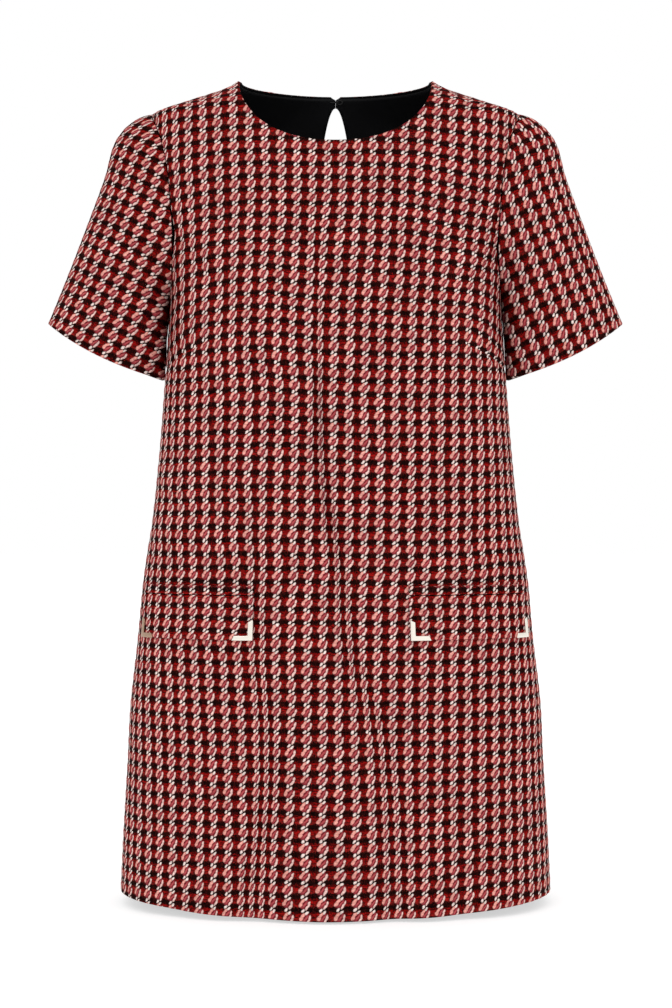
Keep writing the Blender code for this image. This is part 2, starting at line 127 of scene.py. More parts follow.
BACK_LINES = (
    ((-0.42, 0.050), (-0.62, 0.062), (-0.84, 0.078)),
    ((-0.46, -0.070), (-0.66, -0.082), (-0.84, -0.098)),
)
BACK_RIDGE = ((-0.60, -0.012), (-0.72, -0.010), (-0.84, -0.008))
FOLDS = (
    Fold("front", CENTRE_LINE, 0.0052, 0.020, 0.0095, 0.0065, 0.08, CENTRE_TAKEN),
    Fold("front", LEFT_LINE, 0.012, 0.024, 0.0070, 0.0055, 0.30, LEFT_TAKEN),
    Fold("front", HIP_LINES[0], 0.018, 0.022, 0.0035, 0.0030, 0.12, ()),
    Fold("front", HIP_LINES[1], 0.018, 0.022, 0.0035, 0.0035, 0.10, ()),
    Fold("front", FRONT_RIDGE, 0.030, 0.032, -0.0050, -0.0045, 0.14, ()),
    Fold("back", BACK_LINES[0], 0.018, 0.024, 0.0060, 0.0065, 0.12, ((-0.36, 0), (-0.5, 3))),
    Fold("back", BACK_LINES[1], 0.017, 0.022, 0.0050, 0.0055, 0.12, ((-0.4, 0), (-0.54, -3))),
    Fold("back", BACK_RIDGE, 0.028, 0.030, -0.0050, -0.0050, 0.12, ()),
)


def through_points(at, keys, values):
    """A smooth curve through the keys, read at many places (rising keys, Hermite spans)."""
    keys = np.asarray(keys, float)
    values = np.asarray(values, float)
    slopes = np.gradient(values, keys, axis=0)
    at = np.clip(np.asarray(at, float), keys[0], keys[-1])
    i = np.clip(np.searchsorted(keys, at, side="right") - 1, 0, len(keys) - 2)
    span = keys[i + 1] - keys[i]
    u = (at - keys[i]) / span
    start = (1 + 2 * u) * (1 - u) ** 2 * values[i] + u * (1 - u) ** 2 * span * slopes[i]
    end = u * u * (3 - 2 * u) * values[i + 1] + u * u * (u - 1) * span * slopes[i + 1]
    return start + end


def half_width(z):
    side = through_points(z, [s.z for s in BODY], [s.half_width for s in BODY])
    down = np.maximum((np.asarray(z) - NECK_Z) / (TIP_Z - NECK_Z), 0)
    shoulder = NECK_HALF + (TIP_X - NECK_HALF) * down**SHOULDER_HOLLOW
    near = np.clip(1 - np.abs(side - shoulder) / (4 * SHOULDER_EASE), 0, 1)
    return np.minimum(side, shoulder) - SHOULDER_EASE * near * near


def depth(z, panel):
    return through_points(z, [s.z for s in BODY], [getattr(s, panel) for s in BODY])


def roundness(z, panel):
    """How square the form is in plan at height z: the back of the neck is less square."""
    return ROUND[panel] - NECK_LESS_ROUND[panel] * ramp(1 + (np.asarray(z) - NECK_Z) / NECK_EASE)


def at_turn(turn, z, panel):
    """Point of the dress's form a part of a quarter turn from the middle of a panel, at height z."""
    power = 2 / roundness(z, panel)
    angle = np.asarray(turn) * math.pi / 2
    x = half_width(z) * np.sign(angle) * np.abs(np.sin(angle)) ** power
    y = FACING[panel] * depth(z, panel) * np.abs(np.cos(angle)) ** power
    return np.stack([x, y, np.broadcast_to(z, x.shape)], axis=-1)


def onto_form(points, panel):
    x, y, z = points[..., 0], points[..., 1], points[..., 2]
    power = roundness(z, panel)
    reach = np.abs(x / half_width(z)) ** power + np.abs(y / depth(z, panel)) ** power
    reach = np.maximum(reach, 1e-9) ** (1 / power)
    return np.stack([x / reach, y / reach, z], axis=-1)


def outward(points, panel):
    x, y, z = points[..., 0], points[..., 1], points[..., 2]
    power = roundness(z, panel)
    wide, deep = half_width(z), depth(z, panel)
    normal_x = np.sign(x) * np.abs(x / wide) ** (power - 1) / wide
    normal_y = FACING[panel] * np.abs(y / deep) ** (power - 1) / deep
    size = np.maximum(np.hypot(normal_x, normal_y), 1e-9)
    return np.stack([normal_x / size, normal_y / size, np.zeros_like(x)], axis=-1)


def ramp(part):
    part = np.clip(part, 0, 1)
    return part * part * (3 - 2 * part)


def across_fold(fold, x, z):
    """How far (x, z) is to the right of a fold's line, in widths of the fold, and the fold's depth there."""
    heights, places = zip(*fold.line)
    top, low = heights[0], heights[-1]
    line = through_points(-z, [-height for height in heights], places)
    down = np.clip((top - z) / (top - low), 0, 1)
    width = fold.top_width + (fold.low_width - fold.top_width) * down**2
    deep = fold.top_depth + (fold.low_depth - fold.top_depth) * down
    return (x - line) / width, deep * ramp((top + fold.fade / 2 - z) / fold.fade)


def fold_depth(x, z, panel):
    total = np.zeros_like(x)
    for fold in FOLDS:
        if fold.panel == panel:
            off, deep = across_fold(fold, x, z)
            total += deep * np.exp(-(off**2))
    return total


def with_folds(points, panel, lift=0.0):
    inward = fold_depth(points[..., 0], points[..., 2], panel)
    return points + outward(points, panel) * (lift - inward)[..., None]


def form_y(x, z, panel):
    """Depth of the form in front of or behind the point (x, z)."""
    power = roundness(z, panel)
    across = np.minimum(np.abs(x) / half_width(z), 1)
    return FACING[panel] * depth(z, panel) * (1 - across**power) ** (1 / power)


def neck_edge(part, panel):
    angle = part * math.pi / 2
    power = 2 / NECK_ROUND
    x = NECK_HALF * np.sign(angle) * np.abs(np.sin(angle)) ** power
    z = NECK_Z - NECK_DROP[panel] * np.abs(np.cos(angle)) ** power
    return np.stack([x, form_y(x, z, panel), z], axis=-1)


def top_edge(turn, panel):
    """Neckline in the middle and a shoulder seam on each side."""
    out = np.clip((np.abs(turn) - NECK_COLUMN) / (1 - NECK_COLUMN), 0, 1)
    z = NECK_Z + (TIP_Z - NECK_Z) * out
    seam_y = FACING[panel] * np.full_like(z, SEAM_HALF_GAP)
    seam = np.stack([np.sign(turn) * half_width(z), seam_y, z], axis=-1)
    neck = neck_edge(np.clip(turn / NECK_COLUMN, -1, 1), panel)
    return np.where((np.abs(turn) < NECK_COLUMN - 1e-9)[..., None], neck, seam)


def armhole(rise, side, panel):
    """Armhole edge, from the underarm at 0 to the shoulder tip at 1."""
    angle = math.pi * np.asarray(rise, float)
    z = (TIP_Z + UNDERARM_Z) / 2 - (TIP_Z - UNDERARM_Z) / 2 * np.cos(angle)
    y = ARMHOLE_DEPTH[panel] * np.abs(np.sin(angle)) ** (2 / ARMHOLE_ROUND)
    y = np.maximum(y, SEAM_HALF_GAP)
    power = roundness(z, panel)
    x = half_width(z) * (1 - (y / depth(z, panel)) ** power) ** (1 / power)
    return np.stack([side * x, FACING[panel] * y, z], axis=-1)


def yoke(turn, rise, panel):
    """The panel above the underarm line, blended between its four edges and laid on the form."""
    up = rise[..., None]
    blend = (1 - up) * at_turn(turn, np.full_like(turn, UNDERARM_Z), panel) + up * top_edge(turn, panel)
    for side in (-1, 1):
        straight = (1 - up) * armhole(0, side, panel) + up * armhole(1, side, panel)
        share = ((1 + side * turn) / 2) ** ARMHOLE_REACH
        blend += share[..., None] * (armhole(rise, side, panel) - straight)
    return onto_form(blend, panel)


def keep_side(points, panel):
    """Keeps a panel on its own side of the side and shoulder seams."""
    kept = points.copy()
    kept[..., 1] = FACING[panel] * np.maximum(FACING[panel] * points[..., 1], SEAM_HALF_GAP)
    return kept


# Bust darts: from the side seam up to the point of the bust. A row of the mesh runs along each dart,
# and the cloth above it is turned.
DART_X = 0.1285
DART_Z = -0.274
DART_SLOPE = math.radians(-27.5)
DART_REACH = 0.12
DART_TURN = math.radians(17)
DART_FADE = math.radians(150)

# Spacing of the fine mesh, and of the closer rows that turn an edge in.
STEP = 0.00315
YOKE_STEP = STEP * 0.93
EDGE_STEPS = (0.0, 0.0006, 0.0017)
CURVE_SAMPLES = 1500
SPACED_AT_Z = -0.45
YOKE_HEIGHT = 0.178
MIDDLE_STEP = 0.0024
SIDE_STEP = 0.0037
MIDDLE_REACH = 0.070


def close_at_ends(length, step):
    """Distances along a length, about a step apart, and closer together at both ends."""
    start = np.array(EDGE_STEPS)
    count = max(int(round((length - 2 * start[-1]) / step)), 1)
    middle = np.linspace(start[-1], length - start[-1], count + 1)
    return np.concatenate([start[:-1], middle, length - start[-2::-1]])


def distances(points, axis=0):
    """How far along its line each point lies from the first one."""
    steps = np.linalg.norm(np.diff(points, axis=axis), axis=-1)
    return np.concatenate([np.zeros_like(steps.take([0], axis)), np.cumsum(steps, axis=axis)], axis=axis)


def panel_turns(panel):
    """Columns of the fine mesh, closest together in the middle, one of them at each neck corner."""
    dense = np.linspace(0, 1, CURVE_SAMPLES)
    curve = at_turn(dense, np.full_like(dense, SPACED_AT_Z), panel)
    lengths = distances(curve)
    spacing = MIDDLE_STEP + (SIDE_STEP - MIDDLE_STEP) * ramp((lengths - MIDDLE_REACH) / MIDDLE_REACH)
    steps = np.concatenate([[0], np.cumsum(np.diff(lengths) / spacing[1:])])
    count = int(round(steps[-1]))
    along = np.interp(np.linspace(0, steps[-1], count), steps, lengths)
    along = np.concatenate([along[:-1], lengths[-1] - np.array(EDGE_STEPS[::-1])])
    half = np.interp(along, lengths, dense)
    corner = np.argmin(np.abs(half - NECK_COLUMN))
    half[corner] = NECK_COLUMN
    return np.concatenate([-half[:0:-1], half])


def panel_grid(panel):
    """Fine rows of points over a whole panel, from the hem to the neck and shoulders."""
    turns = panel_turns(panel)
    skirt = close_at_ends(UNDERARM_Z - HEM_Z, STEP)
    skirt = skirt[: -len(EDGE_STEPS)]
    skirt[np.argmin(np.abs(HEM_Z + skirt - DART_Z))] = DART_Z - HEM_Z
    rows = []
    for up in skirt:
        level = np.full_like(turns, HEM_Z + up)
        if panel == "front":
            out = np.maximum(np.abs(at_turn(turns, level, panel)[:, 0]) - DART_X, 0)
            near = 1 - max((HEM_Z + up - DART_Z) / (UNDERARM_Z - DART_Z), (DART_Z - HEM_Z - up) / DART_REACH)
            level = level + math.tan(DART_SLOPE) * out * max(near, 0)
        low = max(1 - up / FIRST_ROW, 0)
        level = level + HEM_RISE * (at_turn(turns, level, panel)[:, 0] / BODY[0].half_width) ** 2 * low
        rows.append(at_turn(turns, level, panel))
    rises = close_at_ends(YOKE_HEIGHT, YOKE_STEP) / YOKE_HEIGHT
    rises = rises[len(EDGE_STEPS) :]
    rows += [yoke(turns, np.full_like(turns, rise), panel) for rise in np.concatenate([[0], rises])]
    return keep_side(with_folds(np.array(rows), panel), panel)


# The weave's repeat: one light column and one red-and-black row.
COLUMN_PITCH = 15.35
ROW_PITCH = 13.25
COLUMN_START = 2.4
ROW_START = -425.1
GRAIN_TOP_Z = -0.10
GRAIN_STEPS = 40


def curve_length(point_at):
    """Length of the curve that point_at gives for parts from 0 to 1, measured in short steps."""
    total = 0.0
    last = point_at(0.0)
    for k in range(1, GRAIN_STEPS + 1):
        here = point_at(k / GRAIN_STEPS)
        total = total + np.linalg.norm(here - last, axis=-1)
        last = here
    return total


def grain(points, panel):
    """Where each point of a panel lies on the flat cloth, in millimetres from the centre front."""
    x, z = points[..., 0], points[..., 2]
    level = np.minimum(z, GRAIN_TOP_Z)
    power = 2 / ROUND[panel]
    inside = np.clip(np.abs(x) / half_width(level), 0, 1)
    reach = np.arcsin(inside ** (1 / power)) * 2 / math.pi

    def across_at(part):
        return with_folds(at_turn(np.sign(x) * reach * part, level, panel), panel)[..., :2]

    def up_at(part):
        height = level + (z - level) * math.sin(math.pi / 2 * part)
        return np.stack([form_y(x, height, panel), height], axis=-1)

    flat = np.stack([np.sign(x) * curve_length(across_at), level + curve_length(up_at)], axis=-1) * 1000
    return strained(flat, x, z, panel)


# Places where the rows of the weave hang lower than level, in millimetres, or higher where negative.
Sag = namedtuple("Sag", "panel x z wide tall drop")
SAGS = (
    Sag("front", -0.079, -0.235, 0.044, 0.127, -5.0),
    Sag("front", 0.063, -0.363, 0.074, 0.147, 3.4),
    Sag("front", 0.137, -0.137, 0.050, 0.100, 7.5),
    Sag("front", 0.181, -0.803, 0.088, 0.127, -5.5),
    Sag("front", 0.176, -0.490, 0.034, 0.117, -2.5),
    Sag("front", -0.118, -0.793, 0.039, 0.080, -1.5),
    Sag("back", 0.080, -0.250, 0.060, 0.120, 3.0),
    Sag("back", -0.120, -0.600, 0.070, 0.150, -3.0),
)

# The columns of the weave also drift sideways by a few millimetres: they sway below the bust, lean at
# the chest and spread near the hem. Each drift comes in over its fade.
SWAY = 4.2
SWAY_FROM = -0.29
SWAY_FADE_IN = 0.05
SWAY_TO = -0.50
SWAY_FADE_OUT = 0.08
LEAN = 4.5
LEAN_FROM = -0.32
LEAN_FADE = 0.20
TAKEN_WIDTH = 1.8
CHEST_EASE = 0.025
CHEST_FROM = -0.22
CHEST_FADE = 0.10
SPREAD = 3.5
SPREAD_X = -0.012
SPREAD_WIDTH = 0.050
SPREAD_FROM = -0.62
SPREAD_FADE = 0.18


def strained(flat, x, z, panel):
    """Moves the weave as hanging cloth does: taken up in folds, sagging, leaning and spread at the hem."""
    for fold in FOLDS:
        if fold.panel == panel and fold.taken:
            off, _ = across_fold(fold, x, z)
            heights, taken = zip(*fold.taken)
            taken = through_points(-z, [-height for height in heights], taken)
            flat[..., 0] += taken * ramp(0.5 + np.sign(taken) * off / TAKEN_WIDTH)
    for sag in SAGS:
        if sag.panel == panel:
            near = np.exp(-(((x - sag.x) / sag.wide) ** 2) - ((z - sag.z) / sag.tall) ** 2)
            flat[..., 1] += sag.drop * near
    off = (x - SPREAD_X) / SPREAD_WIDTH
    flat[..., 0] -= SPREAD * off * np.exp(0.5 - off**2 / 2) * ramp((SPREAD_FROM - z) / SPREAD_FADE)
    flat[..., 0] *= 1 + CHEST_EASE * ramp((z - CHEST_FROM) / CHEST_FADE)
    if panel == "front":
        sway = ramp((SWAY_FROM - z) / SWAY_FADE_IN) * ramp((z - SWAY_TO) / SWAY_FADE_OUT)
        flat[..., 0] += SWAY * sway
    flat[..., 0] -= LEAN * ramp((z - LEAN_FROM) / LEAN_FADE)
    return flat


def dart_angle(points):
    return np.arctan2(points[..., 2] - DART_Z, np.abs(points[..., 0]) - DART_X) - DART_SLOPE


def with_darts(flat, points, above):
    """Turns the grain round the point of each bust dart, for the faces above it."""
    side = np.where(points[..., 0] < 0, -1, 1)
    turn = side * np.where(above, DART_TURN * (1 - ramp(dart_angle(points) / DART_FADE)), 0)
    tips = grain(np.array([[-DART_X, 0.0, DART_Z], [DART_X, 0.0, DART_Z]]), "front")
    tip = tips[(side + 1) // 2]
    across, up = flat[..., 0] - tip[..., 0], flat[..., 1] - tip[..., 1]
    turned_across = np.cos(turn) * across - np.sin(turn) * up
    turned_up = np.sin(turn) * across + np.cos(turn) * up
    return tip + np.stack([turned_across, turned_up], axis=-1)


def above_dart(centres):
    angle = dart_angle(centres)
    return (angle > 0) & (angle < DART_FADE)


# Creases pressed in one by one: straight soft troughs from one point of a panel to another.
Crease = namedtuple("Crease", "x1 z1 x2 z2 width depth")
FRONT_CREASES = (
    Crease(0.176, -0.2975, DART_X, DART_Z, 0.0024, 0.0011),
    Crease(-0.176, -0.2975, -DART_X, DART_Z, 0.0024, 0.0011),
    Crease(-0.017, -0.310, -0.0152, -0.392, 0.0026, 0.0007),
    Crease(-0.0152, -0.392, -0.0054, -0.451, 0.0026, 0.0008),
    Crease(-0.0054, -0.451, 0.0010, -0.490, 0.0028, 0.0008),
    Crease(-0.172, -0.150, -0.118, -0.226, 0.0080, 0.0022),
    Crease(0.174, -0.165, 0.128, -0.236, 0.0090, 0.0016),
    Crease(-0.090, -0.330, -0.145, -0.460, 0.0200, 0.0016),
    Crease(0.080, -0.350, 0.150, -0.480, 0.0220, 0.0018),
)
BACK_CREASES = (
    Crease(0.165, -0.180, 0.100, -0.255, 0.0120, 0.0018),
    Crease(-0.168, -0.170, -0.110, -0.240, 0.0110, 0.0020),
    Crease(0.060, -0.330, 0.150, -0.420, 0.0200, 0.0018),
)
CREASE_FADE = 0.012


def crease_depth(points, creases):
    x, z = points[..., 0], points[..., 2]
    total = np.zeros_like(x)
    for crease in creases:
        run = np.array([crease.x2 - crease.x1, crease.z2 - crease.z1])
        length = np.linalg.norm(run)
        run /= length
        along = (x - crease.x1) * run[0] + (z - crease.z1) * run[1]
        off = np.abs((x - crease.x1) * run[1] - (z - crease.z1) * run[0])
        past = np.maximum(np.maximum(-along, along - length), 0)
        total += crease.depth * np.exp(-((off / crease.width) ** 2)) * np.exp(-((past / CREASE_FADE) ** 2))
    return total


RIB_HEIGHT = 0.0007
LINK_LOW = 0.62
EDGE_TURN = 0.0010


def rib_height(flat):
    """The light columns stand up from the cloth, highest at each link of the chain."""
    across = (flat[..., 0] - COLUMN_START) / COLUMN_PITCH
    up = (flat[..., 1] - ROW_START) / ROW_PITCH
    column = np.cos(math.pi * across) ** 2
    link = LINK_LOW + (1 - LINK_LOW) * np.cos(2 * math.pi * up)
    return RIB_HEIGHT * column * link


def turned_in(rows, ends=True, sides=True):
    """How far each point near an edge is turned in, as cloth folded over its own seam allowance."""
    down = distances(rows)
    across = distances(rows, 1)
    near = np.full(rows.shape[:2], 1.0)
    if ends:
        near = np.minimum(near, np.minimum(down, down[-1:] - down))
    if sides:
        near = np.minimum(near, np.minimum(across, across[:, -1:] - across))
    part = np.clip(1 - near / EDGE_TURN, 0, 1)
    return EDGE_TURN * (1 - np.sqrt(1 - part * part))


def read(items, field, size=1, kind=float):
    """One property of all of a mesh's vertices, corners or faces, as an array."""
    values = np.empty(len(items) * size, kind)
    items.foreach_get(field, values)
    return values.reshape(-1, size) if size > 1 else values


def built_mesh(builder, name):
    mesh = bpy.data.meshes.new(name)
    builder.to_mesh(mesh)
    builder.free()
    return mesh


def put_in_scene(name, data):
    thing = bpy.data.objects.new(name, data)
    bpy.context.scene.collection.objects.link(thing)
    return thing


def apply_modifiers(piece):
    """Puts what a piece's modifiers make of its mesh in the mesh's place."""
    plain = piece.data
    piece.data = bpy.data.meshes.new_from_object(piece.evaluated_get(bpy.context.evaluated_depsgraph_get()))
    piece.modifiers.clear()
    bpy.data.meshes.remove(plain)
    piece.data.name = piece.name


def cloth_piece(name, rows, lift, flat, thickness, materials, closed=False, flat_of_loops=None):
    """A fine sheet of cloth through rows of points: its outer face raised by lift, its inner face plain.

    The first material is the outside and the second the inside. flat is the place of each point on
    the flat cloth, in millimetres, which the weave follows.
    """
    down, across = rows.shape[0] - 1, rows.shape[1] - 1
    sheet = bmesh.new()
    bmesh.ops.create_grid(sheet, x_segments=across, y_segments=down, size=0.5)
    mesh = built_mesh(sheet, name)
    spots = read(mesh.vertices, "co", 3)
    column = np.round((spots[:, 0] + 0.5) * across).astype(int)
    row = np.round((spots[:, 1] + 0.5) * down).astype(int)
    mesh.vertices.foreach_set("co", rows[row, column].ravel())
    corner = read(mesh.loops, "vertex_index", kind=np.int32)
    places = flat[row, column][corner] if flat_of_loops is None else flat_of_loops(mesh, corner, row, column)
    for label, values in (("weave", places), ("OFBake", np.stack([column / across, row / down], -1)[corner])):
        layer = mesh.uv_layers.new(name=label)
        layer.uv.foreach_set("vector", np.ascontiguousarray(values, np.float32).ravel())
    raised = mesh.attributes.new("raised", "FLOAT", "POINT")
    raised.data.foreach_set("value", lift[row, column].astype(np.float32))
    mesh.update()
    sheet = bmesh.new()
    sheet.from_mesh(mesh)
    if closed:
        bmesh.ops.remove_doubles(sheet, verts=sheet.verts, dist=1e-6)
    sheet.to_mesh(mesh)
    sheet.free()
    for material in materials:
        mesh.materials.append(material)
    piece = put_in_scene(name, mesh)
    wall = piece.modifiers.new("wall", "SOLIDIFY")
    wall.thickness = thickness
    wall.offset = -1
    wall.material_offset = 1
    outer_count = len(mesh.vertices)
    apply_modifiers(piece)
    raise_outer_face(piece.data, outer_count)
    lay_out_for_paint(piece.data, outer_count)
    piece.data.shade_smooth()
    return piece


def raise_outer_face(mesh, outer_count):
    lift = read(mesh.attributes["raised"].data, "value")
    lift[outer_count:] = 0
    places = read(mesh.vertices, "co", 3) + read(mesh.vertex_normals, "vector", 3) * lift[:, None]
    mesh.vertices.foreach_set("co", places.ravel())
    mesh.attributes.remove(mesh.attributes["raised"])
    mesh.update()


OUTER_SHARE = 0.90
EDGE_SHARE = 0.012
MARGIN_ACROSS = 0.004
MARGIN_UP = 0.003


def lay_out_for_paint(mesh, outer_count):
    """Spreads a piece's outer face over most of its paint map, its inner face and edges over the rest."""
    layer = mesh.uv_layers["OFBake"]
    places = read(layer.uv, "vector", 2, np.float32)
    corner = read(mesh.loops, "vertex_index", kind=np.int32)
    start = read(mesh.polygons, "loop_start", kind=np.int32)
    total = read(mesh.polygons, "loop_total", kind=np.int32)
    face = np.repeat(np.arange(len(start)), total)
    inside = corner >= outer_count
    inner_corners = np.bincount(face, inside, len(start))
    kind = np.where(inner_corners == 0, 0, np.where(inner_corners == total, 2, 1))[face]
    low = OUTER_SHARE + 2 * EDGE_SHARE
    level = np.ptp(places[start[face, None] + np.arange(4)], axis=1)[:, 0] > 1e-6
    edge_x = np.where(level, places[:, 0], places[:, 1])
    x = np.where(kind == 1, edge_x, places[:, 0])
    y = np.select(
        [kind == 0, kind == 1],
        [places[:, 1] * OUTER_SHARE, OUTER_SHARE + EDGE_SHARE * (0.5 + 0.5 * inside)],
        low + places[:, 1] * (1 - low),
    )
    x = MARGIN_ACROSS + (1 - 2 * MARGIN_ACROSS) * x
    y = MARGIN_UP + (1 - 2 * MARGIN_UP) * y
    layer.uv.foreach_set("vector", np.stack([x, y], -1).ravel())


def linear(hex_colour):
    """An sRGB hex colour as linear values."""
    parts = [int(hex_colour[i : i + 2], 16) / 255 for i in (1, 3, 5)]
    return (*[p / 12.92 if p <= 0.04045 else ((p + 0.055) / 1.055) ** 2.4 for p in parts], 1.0)


def add_node(tree, kind, inputs=(), output=0, **settings):
    """Adds a shader node with its settings, links or sets its inputs, and gives one of its outputs."""
    node = tree.nodes.new("ShaderNode" + kind)
    for name, value in settings.items():
        setattr(node, name, value)
    for socket, value in dict(inputs).items():
        if isinstance(value, bpy.types.NodeSocket):
            tree.links.new(value, node.inputs[socket])
        else:
            node.inputs[socket].default_value = value
    return node.outputs[output]


def mix(tree, factor, first, second, blend="MIX"):
    """Mixes two colours, each given as a hex colour or as a socket."""
    pair = [linear(c) if isinstance(c, str) else c for c in (first, second)]
    inputs = {0: factor, 6: pair[0], 7: pair[1]}
    return add_node(tree, "Mix", inputs, 2, data_type="RGBA", blend_type=blend)


def maths(tree, operation, *values):
    return add_node(tree, "Math", dict(enumerate(values)), operation=operation)


def vector(tree, operation, *values, output=0):
    return add_node(tree, "VectorMath", dict(enumerate(values)), output, operation=operation)


OBJECT_PLACE = 3


def noise(tree, place=None, scale=1.0, detail=2.0, roughness=0.5, stretch=None, output=0):
    """A soft cloud over a place, or else over the object itself. Output 1 is its colour."""
    if place is None:
        place = add_node(tree, "TexCoord", output=OBJECT_PLACE)
    if stretch:
        place = vector(tree, "MULTIPLY", place, stretch)
    inputs = {"Vector": place, "Scale": scale, "Detail": detail, "Roughness": roughness}
    return add_node(tree, "TexNoise", inputs, output)


UNIT = (0.0, 1.0)


def remap(tree, value, span=UNIT, to=UNIT, smooth=False):
    """Carries a value from one span to another, easing at both ends if smooth."""
    inputs = {0: value, 1: span[0], 2: span[1], 3: to[0], 4: to[1]}
    return add_node(tree, "MapRange", inputs, interpolation_type="SMOOTHSTEP" if smooth else "LINEAR")


def new_material(name, constants):
    """Starts a material with constants on its shader, and gives it with its node tree."""
    material = bpy.data.materials.new(name)
    material.use_nodes = True
    shader = material.node_tree.nodes["Principled BSDF"]
    for socket, value in constants.items():
        shader.inputs[socket].default_value = value
    return material, material.node_tree


def join_shader(tree, outputs):
    for socket, output in outputs.items():
        tree.links.new(output, tree.nodes["Principled BSDF"].inputs[socket])


# Wool-blend tweed: thick soft yarns, dull and slightly hairy. The ground is red and black bands of
# weft, and the light warp is two soft yarns twisted into a chain, so each link shows as a slanted ring
# of peach and off-white with a rose middle, pinched between two white knots at each black band.
YARNS = {
    "peach": "#F4A99C",
    "blush": "#F8CFC6",
    "white": "#FBE6DE",
    "salmon": "#BC5758",
    "rose": "#9E3A42",
    "wine": "#70141E",
}
Stroke = namedtuple("Stroke", "yarn x y along across turn height")
CHAIN = (
    Stroke("rose", 0.1, -0.2, 4.9, 3.6, 60, 0.55),
    Stroke("salmon", 0.7, -0.5, 3.3, 0.60, 49, 0.58),
    Stroke("wine", -0.4, 0.6, 3.4, 0.50, 48, 0.42),
    Stroke("wine", 1.9, -1.5, 3.2, 0.45, 54, 0.42),
    Stroke("peach", -3.2, -0.3, 2.7, 1.65, 64, 0.85),
    Stroke("peach", -1.4, 2.6, 2.9, 1.35, 45, 0.85),
    Stroke("blush", 4.2, 0.3, 2.4, 1.00, 78, 0.85),
    Stroke("blush", 2.8, -3.0, 3.2, 1.10, 55, 0.90),
    Stroke("white", 1.7, 4.8, 2.0, 1.10, 50, 0.95),
    Stroke("white", -1.4, -6.5, 2.0, 1.20, 52, 1.0),
    Stroke("white", -1.4, 6.75, 2.0, 1.20, 52, 1.0),
)
# How dark the painted shade round each stroke is, by yarn: the shadow between the yarns, painted into the
# colour.
STROKE_PAINTED_SHADE = {"peach": 0.80, "blush": 0.78, "white": 0.70, "salmon": 0.95, "rose": 0.60, "wine": 1.0}
RED_MIDDLE = 0.7
RED_HALF = 3.7
RAGGED = 7.0
BAND_SOFTNESS = 0.8
DRIFT = (3.0, 3.0, 0.0)
WOBBLE = (2.2, 1.8, 0.0)
FIBRE_TURN = math.radians(-55)
CENTRE_LEVEL = (0.5, 0.5, 0.5)


